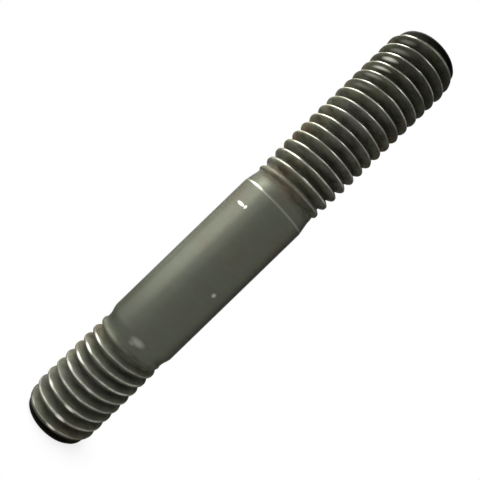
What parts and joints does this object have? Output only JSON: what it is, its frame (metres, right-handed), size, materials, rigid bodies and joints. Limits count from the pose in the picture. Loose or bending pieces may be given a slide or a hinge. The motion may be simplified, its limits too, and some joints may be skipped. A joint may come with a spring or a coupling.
{
  "type": "double ended stud",
  "caption": "Double ended steel stud with a short threaded metal end, a plain full-diameter shank and a long threaded nut end.",
  "frame": {"origin": "centre of the flat face on the metal end", "axes": "+Z along the stud's axis towards the nut end; +X and +Y are radial, and each thread's crest crosses +X at the distance from its own face that the part's source names"},
  "size_m": [0.008, 0.008, 0.0532],
  "materials": {
    "steel": "manganese phosphated and oiled, dark olive grey, semi-gloss"
  },
  "bodies": {
    "root": {"stud": "steel"}
  },
  "joints": []
}
